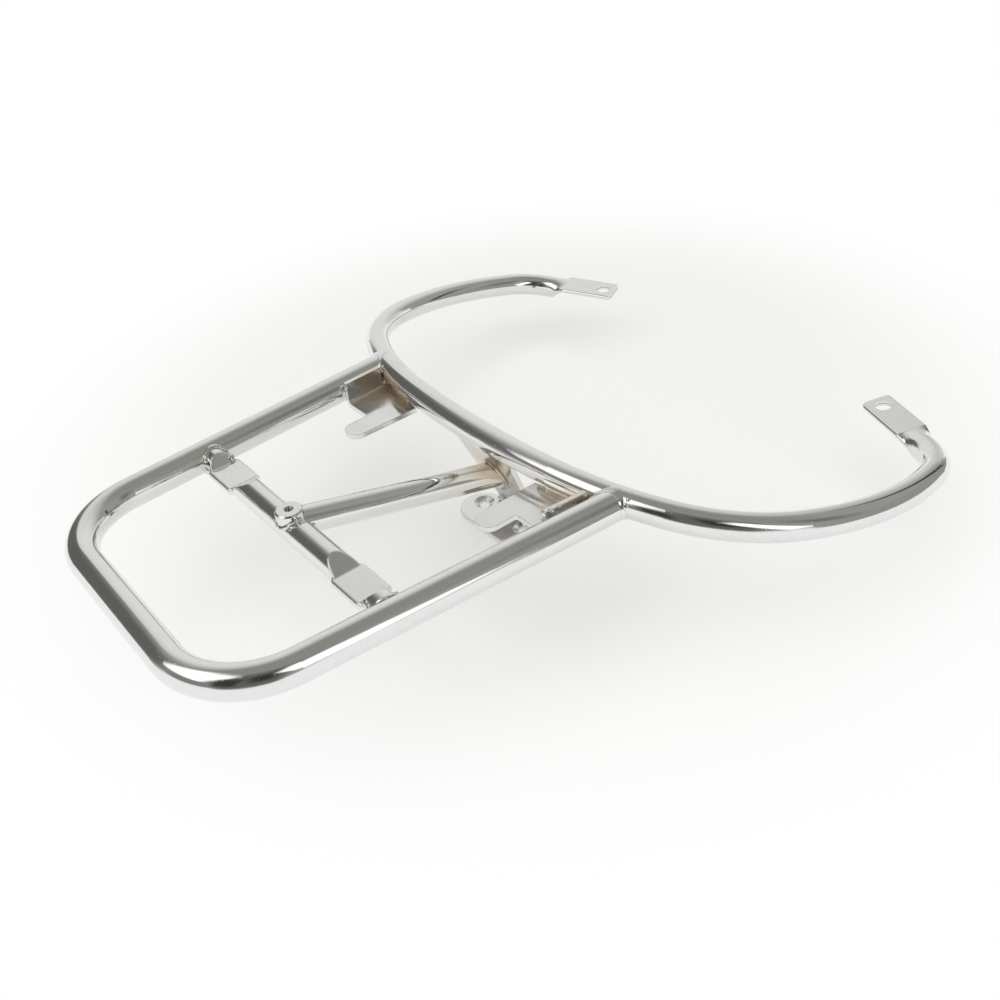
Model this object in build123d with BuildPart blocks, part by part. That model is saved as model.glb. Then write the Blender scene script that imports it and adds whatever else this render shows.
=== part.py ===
from build123d import *
import os
from math import asin, cos, degrees, radians, sin, sqrt, tan

os.makedirs("parts", exist_ok=True)

# Chromed luggage rack of welded steel tube and folded plate, in millimetres.
# X runs across, Y forward to the seat, Z up; the origin is midway between the two foot bolts,
# on the underside of the foot.

# Stock
tube_wall = 1.5
loop_od = 18.0
rail_od = 16.0
strut_od = 16.0
bar_od = 16.0
plate_t = 3.0
plate_bend = 5.0  # outside radius of a fold
press_spread = 1.25  # width of a tube pressed flat, to its diameter
seam = 0.3  # slit left between the walls of a tab
press_slope = 16.0  # width to height of the bore where it closes to the seam
weld_size = 1.4
weld_gap = 0.1
weld_side_length = 20.0
weld_front_length = 24.0

# Rack loop, a U that opens towards the front and lies level
loop_z = 70.0
loop_rear_y = -230.0
loop_rear_half_width = 90.0  # half width at the rear corners before they are rounded
loop_flare = 4.45
loop_corner_radius = 46.0

# Grab rail, a horseshoe in a plane that dips towards the front
rail_rear_y = -16.3
rail_rise = 4.0  # rail axis above the loop axis, at the middle
rail_dip = 10.1
rail_back_radius = 542.0
rail_back_angle = 7.1
rail_shoulder_radius = 206.0
rail_shoulder_angle = 19.1
rail_corner_radius = 95.5
rail_corner_angle = 42.4
rail_arm_radius = 172.5
rail_arm_angle = 35.8
rail_end_radius = 40.0
rail_end_angle = 51.6
tab_press = 12.0  # from round tube to the crease
tab_roll_angle = 16.0  # the tab turned up about its length, out of the rail's plane
tab_pitch_angle = 3.0  # the tab tipped up from the crease to the tip
tab_sink = 1.5  # top of the flat below the top of the tube
tab_length = 39.0
tab_corner = 4.0
tab_hole_d = 10.0
tab_hole_edge = 9.0  # hole centre to the tip

# Crossbar, coped to the loop, with a seat pressed flat near each end
bar_y = -136.4
bar_drop = 1.4  # its axis below the loop's axis
seat_to_loop = 10.2  # outer crease from the side of the loop
seat_length = 23.5
seat_height = 4.0
seat_ramp_length = 12.0  # from round tube down to the inner crease
seat_step_length = 5.6  # the same at the outer end
seat_taper_length = 5.0  # over which the seat spreads to its full width
seat_edge_radius = 1.2

# Threaded boss on the crossbar
boss_od = 15.0
boss_height = 4.0
boss_hole_d = 5.0
boss_edge = 0.8
boss_screw_clearance = 0.75

# Centre strut
strut_rise = 3.3  # its axis above the crossbar's axis
strut_foot_z = 34.8  # where its axis meets the web

# Centre bracket: a web that leans forward under the rail, and a foot folded back from it
web_lean = 22.0
web_top_half_width = 44.0
web_top_edge = 2.5  # upright edge of the web below the rail, at its widest
web_neck_half_width = 24.0
web_neck_z = 50.0
web_foot_half_width = 16.0
foot_length = 61.0
foot_width = 28.0
foot_y = -3.6
bolt_spacing = 38.7
bolt_hole_d = 7.0
bolt_sink_d = 13.0
bolt_sink_angle = 120.0

# Side brackets: trays that pass under the rail, with a wall on the loop and a tongue
tray_drop = 8.6  # underside of the tray below the loop axis
tray_inner_x = 56.5
tray_front_gap = 2.7  # front edge behind the rail's axis
tongue_width = 15.0
tongue_tip_y = -62.7
notch_y = -43.0
notch_corner = 1.5
side_wall_above_loop = 8.0

# Sizes that follow
rail_bends = (
    (rail_back_radius, rail_back_angle),
    (rail_shoulder_radius, rail_shoulder_angle),
    (rail_corner_radius, rail_corner_angle),
    (rail_arm_radius, rail_arm_angle),
    (rail_end_radius, rail_end_angle),
)
loop_r = loop_od / 2
rail_r = rail_od / 2
strut_r = strut_od / 2
bar_r = bar_od / 2
rail_z = loop_z + rail_rise
bar_z = loop_z - bar_drop
pressed_t = 2 * tube_wall + seam
far = 200.0  # a length beyond every part of the rack


def pressed_width(outside_d):
    """Width of a tube of this outside diameter once it is pressed flat."""
    return press_spread * outside_d


def loop_half(y):
    """Half width of the rack loop, at its axis, at this y."""
    return loop_rear_half_width + (y - loop_rear_y) * tan(radians(loop_flare))


def rail_at(x):
    """Y, Z and heading in degrees of the grab rail's axis at a distance x from the middle."""
    u, v, heading = 0.0, 0.0, 0.0
    for radius, turn in rail_bends:
        centre_u = u - radius * sin(radians(heading))
        centre_v = v + radius * cos(radians(heading))
        heading += turn
        u = centre_u + radius * sin(radians(heading))
        v = centre_v - radius * cos(radians(heading))
        if u >= x:
            break
    swung = asin((x - centre_u) / radius)
    forward = centre_v - radius * cos(swung)
    dip = radians(rail_dip)
    return rail_rear_y + forward * cos(dip), rail_z - forward * sin(dip), degrees(swung)


def web_y(z):
    """Y of the middle of the web's thickness at this height."""
    return rail_rear_y + (rail_z - z) * tan(radians(web_lean))


def round_section(plane, radius):
    """A circle in four quarters, which lofts side by side onto a pressed section."""
    corner = radius * sqrt(0.5)
    with BuildSketch(plane) as section:
        with BuildLine():
            ThreePointArc((corner, -corner), (radius, 0), (corner, corner))
            ThreePointArc((corner, corner), (0, radius), (-corner, corner))
            ThreePointArc((-corner, corner), (-radius, 0), (-corner, -corner))
            ThreePointArc((-corner, -corner), (0, -radius), (corner, -corner))
        make_face()
    return section.sketch


def pressed_bore(outside_d):
    """Width of the bore of a tube of this outside diameter once it is pressed flat."""
    return pressed_width(outside_d) - 2 * tube_wall


def pressed_section(plane, width, thickness, rise=0.0):
    """A tube pressed flat: two straight sides and two round edges, lifted by rise."""
    side = width / 2 - thickness / 2
    top = rise + thickness / 2
    low = rise - thickness / 2
    with BuildSketch(plane) as section:
        with BuildLine():
            ThreePointArc((side, low), (width / 2, rise), (side, top))
            Line((side, top), (-side, top))
            ThreePointArc((-side, top), (-width / 2, rise), (-side, low))
            Line((-side, low), (side, low))
        make_face()
    return section.sketch


# Where the loop's axis runs into the rail's axis, seen from above
junction_x = loop_rear_half_width
for _ in range(12):
    junction_x = loop_half(rail_at(junction_x)[0])
junction_y = rail_at(junction_x)[0]

# Axes of the two bent tubes
rail_normal = Vector(0, sin(radians(rail_dip)), cos(radians(rail_dip)))
rail_plane = Plane(origin=(0, rail_rear_y, rail_z), x_dir=(1, 0, 0), z_dir=rail_normal)
with BuildLine() as rail_flat:
    bend_start = (0, 0)
    bend_heading = (1, 0)
    for bend_radius, bend_turn in rail_bends:
        bend = JernArc(start=bend_start, tangent=bend_heading, radius=bend_radius, arc_size=bend_turn)
        bend_start = bend @ 1
        bend_heading = bend % 1
rail_axis = rail_plane.location * rail_flat.wire()

with BuildLine(Plane.XY.offset(loop_z)) as loop_line:
    FilletPolyline(
        (-junction_x, junction_y),
        (-loop_rear_half_width, loop_rear_y),
        (loop_rear_half_width, loop_rear_y),
        (junction_x, junction_y),
        radius=loop_corner_radius,
    )
loop_axis = loop_line.wire()


def rail_solid(radius):
    """The round run of the grab rail as a solid bar of this radius."""
    with BuildPart() as bar:
        with BuildSketch(Plane(origin=rail_axis @ 0, x_dir=(0, 1, 0), z_dir=rail_axis % 0)):
            Circle(radius)
        sweep(path=rail_axis)
        mirror(about=Plane.YZ)
    return bar.part


def loop_solid(radius):
    """The rack loop as a solid bar of this radius."""
    with BuildPart() as bar:
        with BuildSketch(Plane(origin=loop_axis @ 0, z_dir=loop_axis % 0)):
            Circle(radius)
        sweep(path=loop_axis)
    return bar.part


def bar_solid(radius):
    """The crossbar as a solid round bar of this radius, into the loop at both ends."""
    with BuildPart() as bar:
        with BuildSketch(bar_plane):
            Circle(radius)
        extrude(amount=loop_half(bar_y) - loop_r * 0.5, both=True)
    return bar.part


def pressed_bar(radius, thickness):
    """Right half of the crossbar as a bar of this radius, its seat pressed to this thickness."""
    fall = radius - thickness / 2
    top = 1.2  # the slopes run on above the bar by this factor
    with BuildPart() as bar:
        add(bar_solid(radius))
        split(bisect_by=Plane.YZ, keep=Keep.TOP)
        with BuildSketch(Plane(origin=(0, bar_y, bar_z), x_dir=(1, 0, 0), z_dir=(0, -1, 0))):
            with BuildLine():
                Polyline(
                    (seat_start - top * seat_ramp_length, thickness / 2 + top * fall),
                    (seat_start, thickness / 2),
                    (seat_end, thickness / 2),
                    (seat_end + top * seat_step_length, thickness / 2 + top * fall),
                    close=True,
                )
            make_face()
            mirror(about=Plane.XZ)
        extrude(amount=far, both=True, mode=Mode.SUBTRACT)
    return bar.part


seat_end = loop_half(bar_y) - loop_r - seat_to_loop
seat_start = seat_end - seat_length
bar_plane = Plane(origin=(0, bar_y, bar_z), x_dir=(0, 1, 0), z_dir=(1, 0, 0))
rail_bar = rail_solid(rail_r)
loop_bar = loop_solid(loop_r)
cross_bar = bar_solid(bar_r)

# Grab rail: half of it is made and mirrored
tab_width = pressed_width(rail_od)
tab_bore = pressed_bore(rail_od)
tab_rise = rail_r - pressed_t / 2 - tab_sink
tab_normal = rail_normal.rotate(Axis((0, 0, 0), rail_axis % 1), -tab_roll_angle)
press_plane = Plane(
    origin=rail_axis @ 1,
    x_dir=tab_normal.cross(rail_axis % 1),
    z_dir=rail_axis % 1,
)
crease_plane = Plane(
    origin=press_plane.offset(tab_press).origin,
    x_dir=press_plane.x_dir,
    z_dir=press_plane.z_dir.rotate(Axis((0, 0, 0), press_plane.x_dir), -tab_pitch_angle),
)
tab_plane = Plane(
    origin=crease_plane.origin + crease_plane.y_dir * tab_rise,
    x_dir=crease_plane.z_dir,
    z_dir=crease_plane.y_dir,
)
with BuildPart() as tab_form:
    extrude(
        pressed_section(crease_plane, tab_width, pressed_t, tab_rise),
        amount=tab_length,
        dir=crease_plane.z_dir,
    )
    with BuildSketch(tab_plane) as tab_outline:
        with Locations((tab_length / 2, 0)):
            Rectangle(tab_length, tab_width)
        fillet(tab_outline.vertices().group_by(Axis.X)[-1], radius=tab_corner)
    extrude(amount=rail_r, both=True, mode=Mode.INTERSECT)
    extrude(
        pressed_section(crease_plane, tab_bore - tube_wall, seam, tab_rise),
        amount=tab_length,
        dir=crease_plane.z_dir,
        mode=Mode.SUBTRACT,
    )
    with BuildSketch(tab_plane):
        with Locations((tab_length - tab_hole_edge, 0)):
            Circle(tab_hole_d / 2)
    extrude(amount=rail_r, both=True, mode=Mode.SUBTRACT)

with BuildPart() as grab_rail:
    with BuildSketch(Plane(origin=rail_axis @ 0, x_dir=(0, 1, 0), z_dir=rail_axis % 0)):
        Circle(rail_r)
        Circle(rail_r - tube_wall, mode=Mode.SUBTRACT)
    sweep(path=rail_axis)
    loft(
        sections=[
            round_section(press_plane, rail_r),
            pressed_section(crease_plane, tab_width, pressed_t, tab_rise),
        ],
        ruled=True,
    )
    loft(
        sections=[
            round_section(press_plane, rail_r - tube_wall),
            pressed_section(crease_plane, tab_bore, tab_bore / press_slope, tab_rise),
        ],
        ruled=True,
        mode=Mode.SUBTRACT,
    )
    add(tab_form.part)
    mirror(about=Plane.YZ)
grab_rail.part.label = "grab_rail"
export_step(grab_rail.part, "parts/grab_rail.step")

# Rack loop, its ends coped to the rail
with BuildPart() as rack_loop:
    with BuildSketch(Plane(origin=loop_axis @ 0, z_dir=loop_axis % 0)):
        Circle(loop_r)
        Circle(loop_r - tube_wall, mode=Mode.SUBTRACT)
    sweep(path=loop_axis)
    add(rail_bar, mode=Mode.SUBTRACT)
rack_loop.part.label = "rack_loop"
export_step(rack_loop.part, "parts/rack_loop.step")

# Crossbar: the tube with its seats, each spread beyond the round of the tube
bar_width = pressed_width(bar_od)
with BuildPart() as seat_form:
    with BuildSketch(Plane.XY.offset(bar_z - seat_height / 2)):
        with BuildLine():
            Polyline(
                (seat_start - seat_taper_length, bar_y),
                (seat_start - seat_taper_length, bar_y + bar_r - seat_edge_radius),
                (seat_start, bar_y + bar_width / 2),
                (seat_end, bar_y + bar_width / 2),
                (seat_end + seat_step_length, bar_y + bar_r - seat_edge_radius),
                (seat_end + seat_step_length, bar_y),
                close=True,
            )
        make_face()
        mirror(about=Plane.XZ.offset(-bar_y))
    extrude(amount=seat_height)
    rim = seat_form.edges().filter_by(Plane.XY).filter_by(Axis.Y, reverse=True)
    fillet(rim, radius=seat_edge_radius)

with BuildPart() as crossbar:
    add(pressed_bar(bar_r, seat_height))
    add(seat_form.part)
    add(pressed_bar(bar_r - tube_wall, seat_height - 2 * tube_wall), mode=Mode.SUBTRACT)
    add(loop_bar, mode=Mode.SUBTRACT)
    mirror(about=Plane.YZ)
    with Locations((0, bar_y, bar_z + bar_r)):
        Hole(radius=boss_hole_d / 2 + boss_screw_clearance, depth=bar_r)
crossbar.part.label = "crossbar"
export_step(crossbar.part, "parts/crossbar.step")

# Boss, saddled onto the crossbar
with BuildPart() as crossbar_boss:
    with BuildSketch(Plane.XY.offset(bar_z + bar_r / 3)):
        with Locations((0, bar_y)):
            Circle(boss_od / 2)
    extrude(amount=bar_r * 2 / 3 + boss_height)
    chamfer(crossbar_boss.edges().group_by(Axis.Z)[-1], length=boss_edge)
    with Locations((0, bar_y, bar_z + bar_r + boss_height)):
        Hole(radius=boss_hole_d / 2, depth=bar_r + boss_height)
    add(cross_bar, mode=Mode.SUBTRACT)
crossbar_boss.part.label = "crossbar_boss"
export_step(crossbar_boss.part, "parts/crossbar_boss.step")

# Centre strut, coped to the crossbar and cut to the web
strut_start = Vector(0, bar_y, bar_z + strut_rise)
strut_run = Vector(0, web_y(strut_foot_z), strut_foot_z) - strut_start
strut_plane = Plane(origin=strut_start, x_dir=(1, 0, 0), z_dir=strut_run)
web_back = Vector(0, -cos(radians(web_lean)), -sin(radians(web_lean)))
web_plane = Plane(
    origin=Vector(0, web_y(strut_foot_z), strut_foot_z) + web_back * (plate_t / 2),
    x_dir=(1, 0, 0),
    z_dir=web_back,
)


def strut_solid(radius):
    """The strut as a solid bar of this radius, from the crossbar's axis to the web's rear face."""
    with BuildPart() as bar:
        with BuildSketch(strut_plane):
            Circle(radius)
        extrude(amount=strut_run.length + strut_od)
        split(bisect_by=web_plane, keep=Keep.TOP)
    return bar.part


with BuildPart() as centre_strut:
    add(strut_solid(strut_r))
    add(strut_solid(strut_r - tube_wall), mode=Mode.SUBTRACT)
    add(cross_bar, mode=Mode.SUBTRACT)
    add(crossbar_boss.part, mode=Mode.SUBTRACT)
    split(bisect_by=Plane.XZ.offset(-bar_y - bar_r / 2), keep=Keep.BOTTOM)
centre_strut.part.label = "centre_strut"
export_step(centre_strut.part, "parts/centre_strut.step")


def web_slab(thickness):
    """Flat sheet of this thickness about the middle of the web, cut to the web's outline."""
    flare_z = rail_z - rail_r - web_top_edge
    with BuildPart() as slab:
        with BuildSketch(Plane.XZ):
            with BuildLine():
                side = Line((web_foot_half_width, 0), (web_neck_half_width, web_neck_z))
                flare = TangentArc(side @ 1, (web_top_half_width, flare_z), tangent=side % 1)
                Polyline(flare @ 1, (web_top_half_width, rail_z), (0, rail_z), (0, 0), side @ 0)
            make_face()
            mirror(about=Plane.YZ)
        extrude(amount=far, both=True)
        with BuildSketch(Plane.YZ):
            with BuildLine():
                FilletPolyline(
                    (rail_rear_y, rail_z),
                    (web_y(plate_t / 2), plate_t / 2),
                    (foot_y, plate_t / 2),
                    radius=plate_bend - plate_t / 2,
                )
            trace(line_width=thickness)
        extrude(amount=far, both=True, mode=Mode.INTERSECT)
    return slab.part


# Centre bracket, its web coped to the underside of the rail
with BuildPart() as centre_bracket:
    add(web_slab(plate_t))
    add(rail_bar, mode=Mode.SUBTRACT)
    with BuildSketch():
        with Locations((0, foot_y)):
            SlotOverall(foot_length, foot_width)
    extrude(amount=plate_t)
    with Locations((bolt_spacing / 2, 0, plate_t), (-bolt_spacing / 2, 0, plate_t)):
        CounterSinkHole(
            radius=bolt_hole_d / 2,
            counter_sink_radius=bolt_sink_d / 2,
            counter_sink_angle=bolt_sink_angle,
            depth=plate_t,
        )
centre_bracket.part.label = "centre_bracket"
export_step(centre_bracket.part, "parts/centre_bracket.step")

# Side brackets: outer face of the upright wall, a plane with x inward and y up
tray_z = loop_z - tray_drop
flare_rad = radians(loop_flare)
side_reach = (loop_r + weld_gap) / cos(flare_rad)
side_plane = Plane(
    origin=(loop_half(notch_y) - side_reach, notch_y, tray_z),
    x_dir=(-cos(flare_rad), sin(flare_rad), 0),
    z_dir=(sin(flare_rad), cos(flare_rad), 0),
)
side_wall_h = tray_drop + side_wall_above_loop

# Upright plane under the rail's axis beside the tray, with x rearward and y up
tray_mid_x = (tray_inner_x + loop_half(notch_y) - side_reach) / 2
front_y, front_z, front_heading = rail_at(tray_mid_x)
front_rad = radians(front_heading)
front_plane = Plane(
    origin=(tray_mid_x, front_y, tray_z),
    x_dir=(sin(front_rad), -cos(front_rad), 0),
    z_dir=(-cos(front_rad), -sin(front_rad), 0),
)


def tray_front(x):
    """Y of the tray's front edge, which runs along under the rail."""
    return front_y - tray_front_gap + (x - tray_mid_x) * tan(front_rad)


def tray_block(inset):
    """Block inside the right tray's floor and wall, drawn in from their outer faces by inset."""
    with BuildPart() as block:
        with BuildSketch(side_plane) as wall:
            with Locations((inset, inset)):
                Rectangle(far, side_wall_h - inset, align=(Align.MIN, Align.MIN))
            fillet(wall.vertices().sort_by_distance((inset, inset))[0], radius=plate_bend - inset)
        extrude(amount=far, both=True)
    return block.part


with BuildPart() as right_bracket:
    add(tray_block(0))
    add(tray_block(plate_t), mode=Mode.SUBTRACT)
    with BuildSketch(Plane.XY.offset(tray_z)) as tray_outline:
        with BuildLine():
            Polyline(
                (tray_inner_x, tray_front(tray_inner_x)),
                (tray_inner_x, tongue_tip_y),
                (tray_inner_x + tongue_width, tongue_tip_y),
                (tray_inner_x + tongue_width, notch_y),
                (loop_half(0), notch_y),
                (loop_half(0), tray_front(loop_half(0))),
                close=True,
            )
        make_face()
        fillet(tray_outline.vertices().group_by(Axis.Y)[0], radius=tongue_width * 0.45)
        notch = (tray_inner_x + tongue_width, notch_y)
        fillet(tray_outline.vertices().sort_by_distance(notch)[0], radius=notch_corner)
    extrude(amount=side_wall_h, mode=Mode.INTERSECT)
    with BuildSketch(front_plane):
        with Locations((rail_r, plate_bend)):
            Rectangle(far, far, align=(Align.MAX, Align.MIN))
    extrude(amount=far, both=True, mode=Mode.SUBTRACT)
    add(rail_bar, mode=Mode.SUBTRACT)
right_bracket.part.label = "right_bracket"
export_step(right_bracket.part, "parts/right_bracket.step")

with BuildPart() as left_bracket:
    mirror(right_bracket.part, about=Plane.YZ)
left_bracket.part.label = "left_bracket"
export_step(left_bracket.part, "parts/left_bracket.step")

# Weld beads
rail_weld = rail_solid(rail_r + weld_size)
with BuildPart() as weld_loop_right:
    add(rail_weld)
    add(loop_solid(loop_r + weld_size), mode=Mode.INTERSECT)
    add(rail_bar, mode=Mode.SUBTRACT)
    add(loop_bar, mode=Mode.SUBTRACT)
    add(right_bracket.part, mode=Mode.SUBTRACT)
    split(bisect_by=Plane.YZ, keep=Keep.TOP)
weld_loop_right.part.label = "weld_loop_right"
export_step(weld_loop_right.part, "parts/weld_loop_right.step")

with BuildPart() as weld_loop_left:
    mirror(weld_loop_right.part, about=Plane.YZ)
weld_loop_left.part.label = "weld_loop_left"
export_step(weld_loop_left.part, "parts/weld_loop_left.step")

# Beads round the ends of the crossbar
bar_weld = bar_solid(bar_r + weld_size)
with BuildPart() as weld_bar_right:
    add(bar_weld)
    add(loop_solid(loop_r + weld_size), mode=Mode.INTERSECT)
    add(loop_bar, mode=Mode.SUBTRACT)
    add(cross_bar, mode=Mode.SUBTRACT)
    split(bisect_by=Plane.YZ, keep=Keep.TOP)
weld_bar_right.part.label = "weld_bar_right"
export_step(weld_bar_right.part, "parts/weld_bar_right.step")

with BuildPart() as weld_bar_left:
    mirror(weld_bar_right.part, about=Plane.YZ)
weld_bar_left.part.label = "weld_bar_left"
export_step(weld_bar_left.part, "parts/weld_bar_left.step")

# Beads where the boss and the strut meet the crossbar
with BuildPart() as weld_boss_right:
    with BuildSketch(Plane.XY.offset(bar_z + bar_r / 2)):
        with Locations((0, bar_y)):
            Circle(boss_od / 2 + weld_size)
            Circle(boss_od / 2, mode=Mode.SUBTRACT)
    extrude(amount=bar_r)
    add(bar_weld, mode=Mode.INTERSECT)
    add(cross_bar, mode=Mode.SUBTRACT)
    add(strut_solid(strut_r + weld_size), mode=Mode.SUBTRACT)
    split(bisect_by=Plane.YZ, keep=Keep.TOP)
weld_boss_right.part.label = "weld_boss_right"
export_step(weld_boss_right.part, "parts/weld_boss_right.step")

with BuildPart() as weld_boss_left:
    mirror(weld_boss_right.part, about=Plane.YZ)
weld_boss_left.part.label = "weld_boss_left"
export_step(weld_boss_left.part, "parts/weld_boss_left.step")

with BuildPart() as weld_strut_right:
    add(strut_solid(strut_r + weld_size))
    add(bar_weld, mode=Mode.INTERSECT)
    add(strut_solid(strut_r), mode=Mode.SUBTRACT)
    add(cross_bar, mode=Mode.SUBTRACT)
    split(bisect_by=Plane.XY.offset(bar_z + bar_r / 3), keep=Keep.BOTTOM)
    split(bisect_by=Plane.YZ, keep=Keep.TOP)
weld_strut_right.part.label = "weld_strut_right"
export_step(weld_strut_right.part, "parts/weld_strut_right.step")

with BuildPart() as weld_strut_left:
    mirror(weld_strut_right.part, about=Plane.YZ)
weld_strut_left.part.label = "weld_strut_left"
export_step(weld_strut_left.part, "parts/weld_strut_left.step")

# Beads on the web: round the strut, and along the rail on both faces
web_weld = web_slab(plate_t + 2 * weld_size)
with BuildPart() as weld_strut_foot:
    add(strut_solid(strut_r + weld_size))
    add(web_weld, mode=Mode.INTERSECT)
    add(strut_solid(strut_r), mode=Mode.SUBTRACT)
weld_strut_foot.part.label = "weld_strut_foot"
export_step(weld_strut_foot.part, "parts/weld_strut_foot.step")

with BuildPart() as weld_web_rear:
    add(rail_weld)
    add(web_weld, mode=Mode.INTERSECT)
    add(rail_bar, mode=Mode.SUBTRACT)
    split(bisect_by=web_plane, keep=Keep.TOP)
weld_web_rear.part.label = "weld_web_rear"
export_step(weld_web_rear.part, "parts/weld_web_rear.step")

with BuildPart() as weld_web_front:
    add(rail_weld)
    add(web_weld, mode=Mode.INTERSECT)
    add(rail_bar, mode=Mode.SUBTRACT)
    split(bisect_by=web_plane.offset(-plate_t), keep=Keep.BOTTOM)
weld_web_front.part.label = "weld_web_front"
export_step(weld_web_front.part, "parts/weld_web_front.step")

# Beads in the wedge between each tray's wall and the loop, and on the tray under the rail
with BuildPart() as weld_side_right:
    with BuildSketch(side_plane):
        with Locations((0, tray_drop)):
            Rectangle(loop_r, loop_r * 0.6, align=(Align.MAX, Align.MIN))
    extrude(amount=weld_side_length)
    add(loop_bar, mode=Mode.SUBTRACT)
weld_side_right.part.label = "weld_side_right"
export_step(weld_side_right.part, "parts/weld_side_right.step")

with BuildPart() as weld_side_left:
    mirror(weld_side_right.part, about=Plane.YZ)
weld_side_left.part.label = "weld_side_left"
export_step(weld_side_left.part, "parts/weld_side_left.step")

with BuildPart() as weld_front_right:
    with BuildSketch(front_plane):
        with Locations((rail_r * 0.45, plate_t + weld_size * 0.4)):
            Circle(weld_size)
    extrude(amount=weld_front_length / 2, both=True)
    add(rail_bar, mode=Mode.SUBTRACT)
    add(right_bracket.part, mode=Mode.SUBTRACT)
weld_front_right.part.label = "weld_front_right"
export_step(weld_front_right.part, "parts/weld_front_right.step")

with BuildPart() as weld_front_left:
    mirror(weld_front_right.part, about=Plane.YZ)
weld_front_left.part.label = "weld_front_left"
export_step(weld_front_left.part, "parts/weld_front_left.step")
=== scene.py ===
"""Studio scene of a chromed scooter luggage rack: finishes, weld beads, floor, lights and camera."""

import logging
import math
from dataclasses import dataclass, field
from enum import Enum
from typing import Any

import bmesh
import bpy
from mathutils import Matrix, Vector, noise

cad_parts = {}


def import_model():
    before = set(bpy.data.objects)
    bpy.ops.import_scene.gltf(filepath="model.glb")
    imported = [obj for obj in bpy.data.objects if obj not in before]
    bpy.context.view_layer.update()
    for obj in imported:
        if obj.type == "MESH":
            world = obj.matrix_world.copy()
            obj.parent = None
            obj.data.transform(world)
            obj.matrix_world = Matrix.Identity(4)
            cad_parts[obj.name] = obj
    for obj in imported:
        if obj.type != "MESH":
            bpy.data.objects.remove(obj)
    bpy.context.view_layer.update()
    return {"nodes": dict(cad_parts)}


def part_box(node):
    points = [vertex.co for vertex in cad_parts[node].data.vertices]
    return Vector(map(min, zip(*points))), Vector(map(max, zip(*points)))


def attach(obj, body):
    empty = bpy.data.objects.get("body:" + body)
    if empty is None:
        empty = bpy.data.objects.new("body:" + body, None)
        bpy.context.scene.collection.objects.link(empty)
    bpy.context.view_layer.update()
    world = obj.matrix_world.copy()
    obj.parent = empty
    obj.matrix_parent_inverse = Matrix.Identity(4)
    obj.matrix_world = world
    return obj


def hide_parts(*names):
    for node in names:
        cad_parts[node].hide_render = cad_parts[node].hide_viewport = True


LOG = logging.getLogger("luggage_rack")
BODY = "root"

Colour = tuple[float, float, float]
Point = tuple[float, float, float]
Span = tuple[float, float]
WHITE: Colour = (1.0, 1.0, 0.99)
NOISE_ROUGHNESS = 0.55


class Slot(Enum):
    """The record's material slots."""

    TUBE = "tube_chrome"
    PLATE = "plate_chrome"
    WELD = "weld_chrome"


class NodeSheet:
    """Lays out the nodes of one material or of the world."""

    def __init__(self, tree: bpy.types.NodeTree) -> None:
        """Starts from an empty node tree."""
        self.tree = tree
        self.tree.nodes.clear()

    def add(self, kind: str, inputs: dict[Any, Any] | None = None, **settings: Any) -> bpy.types.Node:
        """Adds a node and fills its inputs.

        Args:
            kind: The node's type name.
            inputs: Values or sockets for the node's inputs, by name or number.
            settings: Properties of the node itself.

        Returns:
            The new node.
        """
        node = self.tree.nodes.new(kind)
        for key, value in settings.items():
            setattr(node, key, value)
        for key, value in (inputs or {}).items():
            if isinstance(value, bpy.types.NodeSocket):
                self.tree.links.new(value, node.inputs[key])
            else:
                node.inputs[key].default_value = value
        return node

    def math(self, operation: str, first: Any, second: Any = 0.0) -> bpy.types.NodeSocket:
        """Gives the result of a sum on one or two values."""
        return self.add("ShaderNodeMath", {0: first, 1: second}, operation=operation).outputs[0]

    def ramp(
        self, value: Any, low: float, high: float, start: float = 0.0, end: float = 1.0
    ) -> bpy.types.NodeSocket:
        """Maps a value smoothly from the span low to high onto the span start to end.

        Args:
            value: The socket to map.
            low: Where the span begins.
            high: Where the span ends.
            start: The result at low.
            end: The result at high.

        Returns:
            The mapped value's socket.
        """
        ports = {0: value, 1: low, 2: high, 3: start, 4: end}
        node = self.add("ShaderNodeMapRange", ports, interpolation_type="SMOOTHSTEP")
        return node.outputs[0]

    def noise(self, coords: Any, scale: float, detail: float = 2.0) -> bpy.types.NodeSocket:
        """Gives a noise value about 0.5 at a scale per metre."""
        ports = {"Vector": coords, "Scale": scale, "Detail": detail, "Roughness": NOISE_ROUGHNESS}
        return self.add("ShaderNodeTexNoise", ports).outputs[0]

    def mix(self, factor: Any, first: Any, second: Any) -> bpy.types.NodeSocket:
        """Mixes two colours by a factor."""
        node = self.add("ShaderNodeMix", data_type="RGBA")
        for port, value in ((0, factor), (6, first), (7, second)):
            if isinstance(value, bpy.types.NodeSocket):
                self.tree.links.new(value, node.inputs[port])
            elif port:
                node.inputs[port].default_value = (*value, 1.0)
            else:
                node.inputs[port].default_value = value
        return node.outputs[2]

    def distance(self, coords: Any, place: Point) -> bpy.types.NodeSocket:
        """Gives the distance from a place."""
        node = self.add("ShaderNodeVectorMath", {0: coords, 1: place}, operation="DISTANCE")
        return node.outputs["Value"]

    def surface(self, shader: bpy.types.Node) -> None:
        """Puts a shader on the material's surface."""
        out = self.add("ShaderNodeOutputMaterial")
        self.link(shader.outputs[0], out.inputs["Surface"])

    def link(self, source: bpy.types.NodeSocket, target: bpy.types.NodeSocket) -> None:
        """Joins two sockets."""
        self.tree.links.new(source, target)


def new_material(name: str) -> tuple[bpy.types.Material, NodeSheet]:
    """Starts a material.

    Args:
        name: The material's name.

    Returns:
        The material and its empty sheet of nodes.
    """
    made = bpy.data.materials.new(name)
    made.use_nodes = True
    return made, NodeSheet(made.node_tree)


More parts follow.
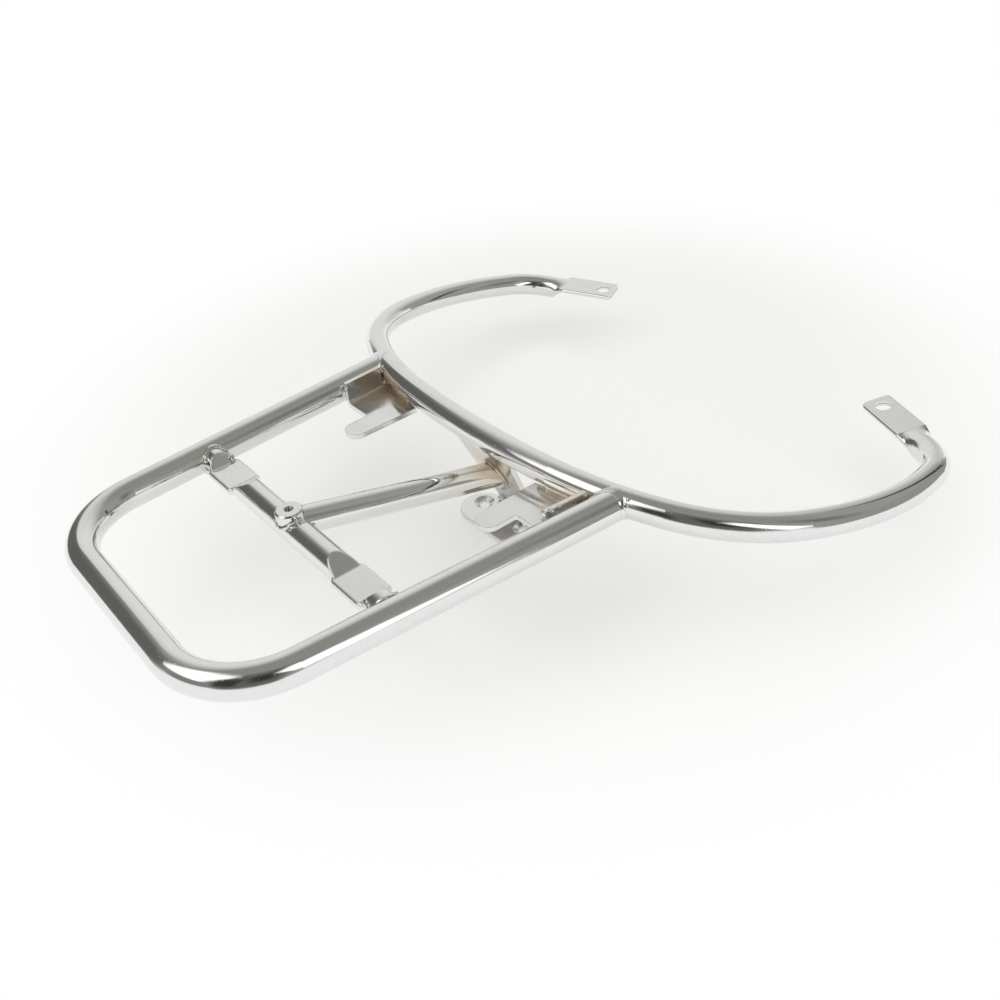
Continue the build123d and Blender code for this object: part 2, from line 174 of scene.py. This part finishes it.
def new_piece(
    name: str, form: bmesh.types.BMesh, finish: bpy.types.Material, smooth: bool = False
) -> bpy.types.Object:
    """Turns a finished form into an object in the scene.

    Args:
        name: The object's name.
        form: The form, which is used up.
        finish: The material to put on.
        smooth: Whether the faces shade as one smooth skin.

    Returns:
        The object.
    """
    mesh = bpy.data.meshes.new(name)
    form.to_mesh(mesh)
    form.free()
    if smooth:
        mesh.shade_smooth()
    mesh.materials.append(finish)
    piece = bpy.data.objects.new(name, mesh)
    bpy.context.scene.collection.objects.link(piece)
    return piece


@dataclass(frozen=True)
class PaintedShadeSpot:
    """A place by a weld where a warm painted shade and painted reflection is laid on the chrome, on both
    sides of the rack.
    """

    place: Point
    reach: float
    strength: float


@dataclass(frozen=True)
class ChromeFinish:
    """Plated steel: bright, with haze, faint waves, fine pits and a warm painted shade and painted
    reflection by the welds.
    """

    name: str
    colour: Colour = (0.80, 0.80, 0.795)
    # warm brown painted into the corners by the welds, standing for shade and for the rail's reflection
    painted_shade_colour: Colour = (0.70, 0.58, 0.42)
    polish: float = 0.045
    haze: float = 0.11
    tint_haze: float = 0.16
    haze_scale: float = 38.0
    haze_span: Span = (0.35, 0.75)
    grain: float = 14.0
    grain_span: Span = (0.30, 0.75)
    haze_dimming: float = 0.93
    wave_scale: float = 55.0
    wave_depth: float = 0.00006
    pit_scale: float = 900.0
    pit_span: Span = (0.24, 0.34)
    pit_depth: float = 0.00002
    tint_scale: float = 70.0
    tint_span: Span = (0.25, 0.70)
    tint_least: float = 0.6
    edge_round: float = 0.0
    edge_samples: int = 6
    spots: tuple[PaintedShadeSpot, ...] = ()

    def material(self) -> bpy.types.Material:
        """Makes the finish.

        Returns:
            A material with the chrome's colour, gloss and relief.
        """
        made, sheet = new_material(self.name)
        coords = sheet.add("ShaderNodeTexCoord").outputs["Object"]
        tint = self._tint(sheet, coords)
        patch = sheet.noise(coords, self.haze_scale, detail=4.0)
        fine = sheet.noise(coords, self.haze_scale * self.grain)
        cloud = sheet.math(
            "MULTIPLY", sheet.ramp(patch, *self.haze_span), sheet.ramp(fine, *self.grain_span)
        )
        hazy = sheet.ramp(cloud, 0.0, 1.0, self.polish, self.haze)
        rough = sheet.math("ADD", hazy, sheet.math("MULTIPLY", tint, self.tint_haze))
        dimmed = tuple(self.haze_dimming * part for part in self.colour)
        # mixes in the painted shade and reflection by the welds
        colour = sheet.mix(tint, sheet.mix(cloud, self.colour, dimmed), self.painted_shade_colour)
        ports = {"Base Color": colour, "Roughness": rough, "Metallic": 1.0}
        shader = sheet.add("ShaderNodeBsdfPrincipled", ports)
        sheet.link(self._relief(sheet, coords), shader.inputs["Normal"])
        sheet.surface(shader)
        return made

    def _tint(self, sheet: NodeSheet, coords: bpy.types.NodeSocket) -> bpy.types.NodeSocket:
        """Gives the share of the painted shade and reflection at each place.

        Args:
            sheet: The material's nodes.
            coords: The place on the rack.

        Returns:
            A value from 0 to 1.
        """
        folded = sheet.add("ShaderNodeVectorMath", {0: coords}, operation="ABSOLUTE").outputs[0]
        sides = sheet.add("ShaderNodeSeparateXYZ", {0: folded}).outputs[0]
        rest = sheet.add("ShaderNodeSeparateXYZ", {0: coords}).outputs
        mirrored = sheet.add("ShaderNodeCombineXYZ", {0: sides, 1: rest[1], 2: rest[2]}).outputs[0]
        ragged = sheet.ramp(sheet.noise(coords, self.tint_scale), *self.tint_span, self.tint_least, 1.0)
        total: Any = 0.0
        for spot in self.spots:
            gap = sheet.distance(mirrored, spot.place)
            near = sheet.ramp(gap, 0.0, spot.reach, spot.strength, 0.0)
            total = sheet.math("MAXIMUM", near, total)
        return sheet.math("MULTIPLY", ragged, total)

    def _relief(self, sheet: NodeSheet, coords: bpy.types.NodeSocket) -> bpy.types.NodeSocket:
        """Gives the surface's normal with waves, pits and rounded edges.

        Args:
            sheet: The material's nodes.
            coords: The place on the rack.

        Returns:
            The normal's socket.
        """
        waves = sheet.add("ShaderNodeBump", {"Height": sheet.noise(coords, self.wave_scale, detail=1.0)})
        waves.inputs["Distance"].default_value = self.wave_depth
        if self.edge_round:
            edge = sheet.add("ShaderNodeBevel", {"Radius": self.edge_round}, samples=self.edge_samples)
            sheet.link(edge.outputs[0], waves.inputs["Normal"])
        pits = sheet.ramp(sheet.noise(coords, self.pit_scale), *self.pit_span)
        dents = sheet.add("ShaderNodeBump", {"Height": pits, "Normal": waves.outputs[0]})
        dents.inputs["Distance"].default_value = self.pit_depth
        return dents.outputs[0]


# places by the welds where shade and reflection are painted on the chrome
TUBE_SPOTS = (
    PaintedShadeSpot((0.000, -0.006, 0.037), 0.046, 0.75),
    PaintedShadeSpot((0.030, -0.017, 0.064), 0.020, 0.45),
    PaintedShadeSpot((0.068, -0.014, 0.064), 0.020, 0.80),
    PaintedShadeSpot((0.086, -0.012, 0.065), 0.022, 0.85),
    PaintedShadeSpot((0.096, -0.020, 0.064), 0.022, 0.50),
)
PLATE_SPOTS = (
    PaintedShadeSpot((0.000, 0.000, 0.040), 0.036, 0.70),
    PaintedShadeSpot((0.092, -0.020, 0.066), 0.026, 0.90),
    PaintedShadeSpot((0.074, -0.014, 0.064), 0.015, 0.80),
    PaintedShadeSpot((0.040, -0.014, 0.064), 0.026, 0.50),
)
TUBE_CHROME = ChromeFinish("tube_chrome", spots=TUBE_SPOTS)
SEAT_CHROME = ChromeFinish("seat_chrome", edge_round=0.0020, wave_depth=0.00010)
PLATE_CHROME = ChromeFinish(
    "plate_chrome", polish=0.11, haze=0.24, haze_scale=60.0, wave_scale=85.0, wave_depth=0.00009,
    edge_round=0.0006, tint_haze=0.42, spots=PLATE_SPOTS,
)
WELD_CHROME = ChromeFinish(
    "weld_chrome", colour=(0.74, 0.73, 0.71), polish=0.10, haze=0.24, haze_scale=160.0, wave_scale=420.0,
    wave_depth=0.00012, spots=PLATE_SPOTS,
)
DRESSED_WELD_CHROME = ChromeFinish("dressed_weld_chrome", polish=0.06, haze=0.14, spots=TUBE_SPOTS)


@dataclass
class Framework:
    """The pieces that keep their solids: tubes and plates, which only take their finish."""

    slot: Slot
    names: tuple[str, ...]

    def dress(self, nodes: dict[str, bpy.types.Object], finish: bpy.types.Material) -> None:
        """Puts the finish on each piece.

        Args:
            nodes: The frame's pieces by name.
            finish: The material to put on.
        """
        for name in self.names:
            piece = nodes[name]
            for holder in piece.material_slots:
                holder.material = finish
            LOG.info("%s takes %s", name, self.slot.value)


@dataclass
class LumpyBead:
    """A weld bead: the solid's fillet with the ripples and lumps that a welder leaves."""

    node: str
    voxel: float = 0.00036
    eases: int = 3
    lump: float = 0.00034
    lump_scale: float = 260.0
    ripple: float = 0.00016
    ripple_scale: float = 900.0
    hosts: tuple[str, ...] = ()
    flush: float = 0.0

    def build(self, nodes: dict[str, bpy.types.Object], finish: bpy.types.Material) -> bpy.types.Object:
        """Makes the bead over its solid.

        Args:
            nodes: The frame's pieces by name.
            finish: The material to put on.

        Returns:
            The bead, which stands for its solid.
        """
        mesh = nodes[self.node].data.copy()
        mesh.name = f"{self.node}_bead"
        piece = bpy.data.objects.new(mesh.name, mesh)
        bpy.context.scene.collection.objects.link(piece)
        melt = piece.modifiers.new("melt", "REMESH")
        melt.mode = "VOXEL"
        melt.voxel_size = self.voxel
        ease = piece.modifiers.new("ease", "SMOOTH")
        ease.iterations = self.eases
        graph = bpy.context.evaluated_depsgraph_get()
        formed = bpy.data.meshes.new_from_object(piece.evaluated_get(graph))
        piece.modifiers.clear()
        piece.data = formed
        bpy.data.meshes.remove(mesh)
        formed.name = piece.name
        self._drop_crumbs(formed)
        self._roughen(formed)
        if self.hosts:
            self._grind(formed, [nodes[host] for host in self.hosts])
        formed.shade_smooth()
        formed.materials.clear()
        formed.materials.append(finish)
        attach(piece, BODY)
        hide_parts(self.node)
        LOG.info("%s stands for %s", piece.name, self.node)
        return piece

    def _drop_crumbs(self, mesh: bpy.types.Mesh) -> None:
        """Deletes the loose crumbs that the melting leaves beside the bead.

        Args:
            mesh: The bead's mesh.
        """
        form = bmesh.new()
        form.from_mesh(mesh)
        form.verts.index_update()
        islands: list[list[bmesh.types.BMVert]] = []
        reached: set[int] = set()
        for start in form.verts:
            if start.index in reached:
                continue
            reached.add(start.index)
            island, waiting = [], [start]
            while waiting:
                vertex = waiting.pop()
                island.append(vertex)
                for edge in vertex.link_edges:
                    other = edge.other_vert(vertex)
                    if other.index not in reached:
                        reached.add(other.index)
                        waiting.append(other)
            islands.append(island)
        islands.sort(key=len)
        crumbs = [vertex for island in islands[:-1] for vertex in island]
        bmesh.ops.delete(form, geom=crumbs, context="VERTS")
        form.to_mesh(mesh)
        form.free()

    def _roughen(self, mesh: bpy.types.Mesh) -> None:
        """Moves the bead's skin in and out by its lumps and ripples."""
        for vertex, way in zip(mesh.vertices, [Vector(v.normal) for v in mesh.vertices]):
            swell = self.lump * noise.noise(vertex.co * self.lump_scale)
            swell += self.ripple * noise.noise(vertex.co * self.ripple_scale)
            vertex.co += way * swell

    def _grind(self, mesh: bpy.types.Mesh, hosts: list[bpy.types.Object]) -> None:
        """Takes the bead down towards the pieces that it joins.

        Args:
            mesh: The bead's mesh.
            hosts: The pieces that the bead joins.
        """
        for vertex in mesh.vertices:
            spots = [host.closest_point_on_mesh(vertex.co)[1] for host in hosts]
            gaps = [(spot - vertex.co).length for spot in spots]
            vertex.co = vertex.co.lerp(spots[gaps.index(min(gaps))], self.flush)


@dataclass(frozen=True)
class Blob:
    """A drop of weld metal: the piece it sits on, about where, and how big."""

    node: str
    place: Point
    radius: float
    flat: float = 0.6


@dataclass
class WeldSpatter:
    """The drops that the welder left beside the beads, plated over with the rest."""

    name: str
    blobs: tuple[Blob, ...]
    sink: float = 0.35
    lump: float = 0.22
    lump_scale: float = 1.3
    lump_spread: float = 900.0
    fineness: int = 3

    def build(self, nodes: dict[str, bpy.types.Object], finish: bpy.types.Material) -> bpy.types.Object:
        """Sets each drop on the nearest skin of its piece.

        Args:
            nodes: The frame's pieces by name.
            finish: The material to put on.

        Returns:
            All the drops as one object.
        """
        form = bmesh.new()
        for blob in self.blobs:
            _, spot, way, _ = nodes[blob.node].closest_point_on_mesh(Vector(blob.place))
            stand = way.to_track_quat("Z", "Y").to_matrix().to_4x4()
            shape = Matrix.Diagonal((blob.radius, blob.radius, blob.radius * blob.flat, 1.0))
            seat = Matrix.Translation(spot - way * blob.radius * blob.flat * self.sink)
            drop = bmesh.ops.create_icosphere(form, subdivisions=self.fineness, radius=1.0)
            shift = Vector(blob.place) * self.lump_spread
            for vertex in drop["verts"]:
                vertex.co *= 1.0 + self.lump * noise.noise(vertex.co * self.lump_scale + shift)
            bmesh.ops.transform(form, matrix=seat @ stand @ shape, verts=drop["verts"])
        piece = new_piece(self.name, form, finish, smooth=True)
        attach(piece, BODY)
        LOG.info("%s: %d drops", self.name, len(self.blobs))
        return piece


@dataclass
class BossThread:
    """The helical ridge in the crossbar's threaded boss."""

    name: str = "boss_thread"
    node: str = "crossbar_boss"
    radius: float = 0.00255
    crest: float = 0.00036
    pitch: float = 0.0010
    turns: int = 3
    steps: int = 36
    lead_in: float = 0.0006
    crest_share: float = 0.08
    root_share: float = 0.45

    def build(self, finish: bpy.types.Material) -> bpy.types.Object:
        """Makes the ridge down the boss's hole.

        Args:
            finish: The material to put on.

        Returns:
            The ridge.
        """
        low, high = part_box(self.node)
        centre = (low + high) / 2.0
        profile = (
            (0.0, self.root_share), (self.crest, self.crest_share),
            (self.crest, -self.crest_share), (0.0, -self.root_share),
        )
        form = bmesh.new()
        rings = []
        for step in range(self.turns * self.steps + 1):
            turn = step / self.steps
            angle = turn * math.tau
            drop = high.z - self.lead_in - turn * self.pitch
            way = Vector((math.cos(angle), math.sin(angle), 0.0))
            ring = []
            for inward, rise in profile:
                spot = way * (self.radius - inward)
                place = (centre.x + spot.x, centre.y + spot.y, drop + rise * self.pitch)
                ring.append(form.verts.new(place))
            rings.append(ring)
        for first, second in zip(rings, rings[1:]):
            for side in range(len(profile)):
                form.faces.new((first[side], first[side - 1], second[side - 1], second[side]))
        form.faces.new(rings[0])
        form.faces.new(reversed(rings[-1]))
        bmesh.ops.recalc_face_normals(form, faces=form.faces)
        piece = new_piece(self.name, form, finish, smooth=True)
        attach(piece, BODY)
        LOG.info("%s rides in %s", self.name, self.node)
        return piece


@dataclass
class StudioCard:
    """A card in the studio that the chrome mirrors: a soft light, a dark flag or a pale board."""

    name: str
    azimuth: float
    elevation: float
    half_width: float
    half_height: float
    level: float
    roll: float = 0.0
    distance: float = 2.2
    fade: float = 0.25
    lights: bool = False
    colour: Colour = (1.0, 1.0, 0.94)

    def build(self) -> bpy.types.Object:
        """Hangs the card, facing the rack.

        Returns:
            The card.
        """
        across = self.distance * math.tan(math.radians(self.half_width))
        along = self.distance * math.tan(math.radians(self.half_height))
        form = bmesh.new()
        corners = ((-1, -1), (1, -1), (1, 1), (-1, 1))
        form.faces.new([form.verts.new((x * across, y * along, 0.0)) for x, y in corners])
        card = new_piece(self.name, form, self._material())
        turn, tilt = math.radians(self.azimuth), math.radians(self.elevation)
        way = Vector((math.cos(turn) * math.cos(tilt), math.sin(turn) * math.cos(tilt), math.sin(tilt)))
        facing = way.to_track_quat("Z", "Y").to_matrix().to_4x4()
        rolled = Matrix.Rotation(math.radians(self.roll), 4, "Z")
        card.matrix_world = Matrix.Translation(way * self.distance) @ facing @ rolled
        card.visible_camera = False
        card.visible_shadow = False
        card.visible_diffuse = self.lights
        LOG.info("%s hung", self.name)
        return card

    def _material(self) -> bpy.types.Material:
        """Makes the card's glow, which fades out at its edges.

        Returns:
            The card's material.
        """
        made, sheet = new_material(self.name)
        coords = sheet.add("ShaderNodeTexCoord").outputs["Generated"]
        spots = sheet.add("ShaderNodeSeparateXYZ", {0: coords}).outputs
        shares = []
        for spot in (spots[0], spots[1]):
            off = sheet.math("ABSOLUTE", sheet.math("SUBTRACT", spot, 0.5))
            shares.append(sheet.ramp(off, 0.5 - 0.5 * self.fade, 0.5, 1.0, 0.0))
        share = sheet.math("MULTIPLY", shares[0], shares[1])
        glow = sheet.add("ShaderNodeEmission", {"Color": (*self.colour, 1.0), "Strength": self.level})
        clear = sheet.add("ShaderNodeBsdfTransparent")
        sheet.surface(sheet.add("ShaderNodeMixShader", {0: share, 1: clear.outputs[0], 2: glow.outputs[0]}))
        return made


@dataclass
class Studio:
    """The pale floor, the room's light and the cards round the rack."""

    floor_radius: float = 5.0
    floor_sides: int = 96
    floor_level: float = -0.0001
    floor_colour: Colour = (0.88, 0.88, 0.87)
    floor_white: float = 0.34
    floor_centre: Point = (-0.09, 0.10, 0.0)
    white_from: float = 0.19
    white_by: float = 0.41
    lamp_power: float = 30.0
    lamp_size: float = 3.0
    lamp_height: float = 1.8
    room_colour: Colour = (0.36, 0.36, 0.33)
    overhead_colour: Colour = (0.30, 0.30, 0.272)
    horizon: Span = (2.0, 12.0)
    overhead: Span = (35.0, 75.0)
    cards: list[StudioCard] = field(default_factory=lambda: [
        StudioCard("left_softbox", -108.0, 48.0, 24.0, 24.0, 1.5, fade=0.5, lights=True, colour=WHITE),
        StudioCard(
            "right_softbox", -2.0, 32.0, 11.0, 27.0, 1.5, roll=30.0, fade=0.5, distance=1.2,
            lights=True, colour=WHITE,
        ),
        StudioCard("pale_board", 150.0, 24.0, 53.0, 48.0, 0.84, fade=0.9, colour=WHITE),
        StudioCard("left_flag", -153.0, 20.0, 42.0, 36.0, 0.135, fade=0.7),
        StudioCard("near_flag", -45.0, 36.0, 38.0, 40.0, 0.14, fade=0.5),
        StudioCard("near_edge", -34.0, 40.0, 16.0, 22.0, 0.04, fade=0.8, distance=2.1),
        StudioCard("left_grey", -95.0, 19.0, 22.0, 11.0, 0.24, fade=0.4),
        StudioCard("board_edge", 77.0, 22.5, 3.9, 19.0, 0.04, roll=-10.0, fade=0.7, distance=0.76),
        StudioCard("right_flag", 36.0, 36.0, 14.0, 26.0, 0.18, fade=1.0),
        StudioCard("bar_flag", -66.0, 30.0, 10.0, 17.0, 0.05, fade=0.6, distance=0.8),
        StudioCard("board_low", 108.0, 8.0, 17.0, 11.0, 0.70, fade=0.6, distance=2.0, colour=WHITE),
        StudioCard("right_grey", 50.0, 6.0, 38.0, 14.0, 0.33, fade=0.2, distance=0.8),
    ])

    def build(self) -> None:
        """Sets the floor, the world, the lamp and the cards."""
        self._floor()
        self._world()
        self._lamp()
        for card in self.cards:
            card.build()

    def _floor(self) -> None:
        """Lays the floor, which runs out to white round the rack."""
        form = bmesh.new()
        bmesh.ops.create_circle(form, cap_ends=True, segments=self.floor_sides, radius=self.floor_radius)
        floor = new_piece("studio_floor", form, self._floor_material())
        floor.location.z = self.floor_level
        LOG.info("%s laid", floor.name)

    def _floor_material(self) -> bpy.types.Material:
        """Makes the floor's finish: matt under the rack, plain white farther out.

        Returns:
            The floor's material.
        """
        made, sheet = new_material("studio_floor")
        coords = sheet.add("ShaderNodeTexCoord").outputs["Object"]
        gap = sheet.distance(coords, self.floor_centre)
        far = sheet.ramp(gap, self.white_from, self.white_by, self.floor_white, 1.0)
        path = sheet.add("ShaderNodeLightPath").outputs
        seen = sheet.math("MAXIMUM", path["Is Camera Ray"], path["Is Glossy Ray"])
        seen = sheet.math("MAXIMUM", seen, path["Is Transmission Ray"])
        matt = sheet.add("ShaderNodeBsdfDiffuse", {"Color": (*self.floor_colour, 1.0)})
        white = sheet.add("ShaderNodeEmission", {"Color": (1.0, 1.0, 1.0, 1.0), "Strength": 1.0})
        share = sheet.math("MULTIPLY", far, seen)
        sheet.surface(sheet.add("ShaderNodeMixShader", {0: share, 1: matt.outputs[0], 2: white.outputs[0]}))
        return made

    def _world(self) -> None:
        """Sets the room: white behind the rack and at the horizon, grey overhead."""
        world = bpy.data.worlds.new("studio_room")
        world.use_nodes = True
        bpy.context.scene.world = world
        sheet = NodeSheet(world.node_tree)
        coords = sheet.add("ShaderNodeTexCoord").outputs["Generated"]
        height = sheet.add("ShaderNodeSeparateXYZ", {0: coords}).outputs[2]
        band, top = (
            sheet.ramp(height, *(math.sin(math.radians(angle)) for angle in span))
            for span in (self.horizon, self.overhead)
        )
        room = sheet.mix(top, self.room_colour, self.overhead_colour)
        behind = sheet.add("ShaderNodeLightPath").outputs["Is Camera Ray"]
        share = sheet.math("MULTIPLY", band, sheet.math("SUBTRACT", 1.0, behind))
        colour = sheet.mix(share, (1.0, 1.0, 1.0), room)
        back = sheet.add("ShaderNodeBackground", {"Color": colour, "Strength": 1.0})
        out = sheet.add("ShaderNodeOutputWorld")
        sheet.link(back.outputs[0], out.inputs["Surface"])

    def _lamp(self) -> None:
        """Hangs the wide lamp over the floor."""
        lamp = bpy.data.lights.new("top_lamp", "AREA")
        lamp.shape = "SQUARE"
        lamp.size = self.lamp_size
        lamp.energy = self.lamp_power
        held = bpy.data.objects.new("top_lamp", lamp)
        held.location = (0.0, 0.0, self.lamp_height)
        held.visible_glossy = False
        held.visible_camera = False
        bpy.context.scene.collection.objects.link(held)
        LOG.info("%s hung", held.name)


@dataclass
class PhotoCamera:
    """The camera at the photograph's place and angle."""

    place: Point = (0.43875, -0.3127, 0.4067)
    right: Point = (0.6263, 0.7748, -0.0862)
    up: Point = (-0.4157, 0.4255, 0.8038)
    lens: float = 39.02
    sensor: float = 36.0
    nearest: float = 0.01

    def build(self) -> bpy.types.Object:
        """Sets the camera up.

        Returns:
            The camera.
        """
        data = bpy.data.cameras.new("photo_camera")
        data.lens = self.lens
        data.sensor_width = self.sensor
        data.clip_start = self.nearest
        camera = bpy.data.objects.new("photo_camera", data)
        right, up = Vector(self.right).normalized(), Vector(self.up)
        up = (up - right * up.dot(right)).normalized()
        turned = Matrix((right, up, right.cross(up))).transposed().to_4x4()
        camera.matrix_world = Matrix.Translation(self.place) @ turned
        bpy.context.scene.collection.objects.link(camera)
        bpy.context.scene.camera = camera
        LOG.info("%s set", camera.name)
        return camera


TUBES = Framework(Slot.TUBE, ("grab_rail", "rack_loop", "centre_strut"))
SEATS = Framework(Slot.TUBE, ("crossbar",))
PLATES = Framework(Slot.PLATE, ("centre_bracket", "left_bracket", "right_bracket", "crossbar_boss"))
CALM_LUMP = 0.00010
CALM_RIPPLE = 0.00002
LOOP_FLUSH = 0.7
LOOP_HOSTS = ("rack_loop", "grab_rail")
ROUGH_BEADS = tuple(LumpyBead(name) for name in (
    "weld_bar_left", "weld_bar_right", "weld_boss_left", "weld_boss_right", "weld_strut_left",
    "weld_strut_right", "weld_strut_foot", "weld_web_rear", "weld_side_left", "weld_side_right",
))
CALM_BEADS = tuple(
    LumpyBead(name, lump=CALM_LUMP, ripple=CALM_RIPPLE)
    for name in ("weld_front_left", "weld_front_right", "weld_web_front")
)
GROUND_BEADS = tuple(
    LumpyBead(name, lump=CALM_LUMP, ripple=CALM_RIPPLE, hosts=LOOP_HOSTS, flush=LOOP_FLUSH)
    for name in ("weld_loop_left", "weld_loop_right")
)
SPATTER = WeldSpatter("weld_spatter", (
    Blob("grab_rail", (-0.0955, -0.0142, 0.0756), 0.0026),
    Blob("left_bracket", (-0.0947, -0.0134, 0.0661), 0.0030),
    Blob("crossbar", (-0.0868, -0.1438, 0.0715), 0.0024),
    Blob("crossbar", (-0.0855, -0.1440, 0.0680), 0.0026),
    Blob("crossbar", (-0.0800, -0.1302, 0.0720), 0.0020),
    Blob("crossbar", (0.0819, -0.1438, 0.0717), 0.0024),
    Blob("crossbar", (0.0845, -0.1440, 0.0695), 0.0026),
    Blob("crossbar", (0.0085, -0.1410, 0.0755), 0.0017),
    Blob("crossbar", (0.0095, -0.1340, 0.0760), 0.0018),
    Blob("grab_rail", (0.1167, -0.0052, 0.0774), 0.0014),
    Blob("grab_rail", (0.1169, -0.0076, 0.0743), 0.0018),
    Blob("right_bracket", (0.0950, -0.0428, 0.0770), 0.0022),
    Blob("right_bracket", (0.0952, -0.0425, 0.0735), 0.0024),
    Blob("right_bracket", (0.0955, -0.0385, 0.0780), 0.0019),
    Blob("right_bracket", (0.0958, -0.0335, 0.0780), 0.0015),
    Blob("left_bracket", (-0.0935, -0.0430, 0.0760), 0.0018),
))


def main() -> None:
    """Loads the frame, dresses it, adds the small pieces and sets up the studio."""
    logging.basicConfig(level=logging.INFO, format="%(name)s: %(message)s")
    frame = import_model()
    nodes = frame["nodes"]
    bpy.context.scene.view_settings.view_transform = "Standard"
    TUBES.dress(nodes, TUBE_CHROME.material())
    SEATS.dress(nodes, SEAT_CHROME.material())
    PLATES.dress(nodes, PLATE_CHROME.material())
    weld, dressed = WELD_CHROME.material(), DRESSED_WELD_CHROME.material()
    for bead in ROUGH_BEADS:
        bead.build(nodes, weld)
    for bead in CALM_BEADS + GROUND_BEADS:
        bead.build(nodes, dressed)
    SPATTER.build(nodes, weld)
    BossThread().build(weld)
    Studio().build()
    PhotoCamera().build()


if __name__ == "__main__":
    main()
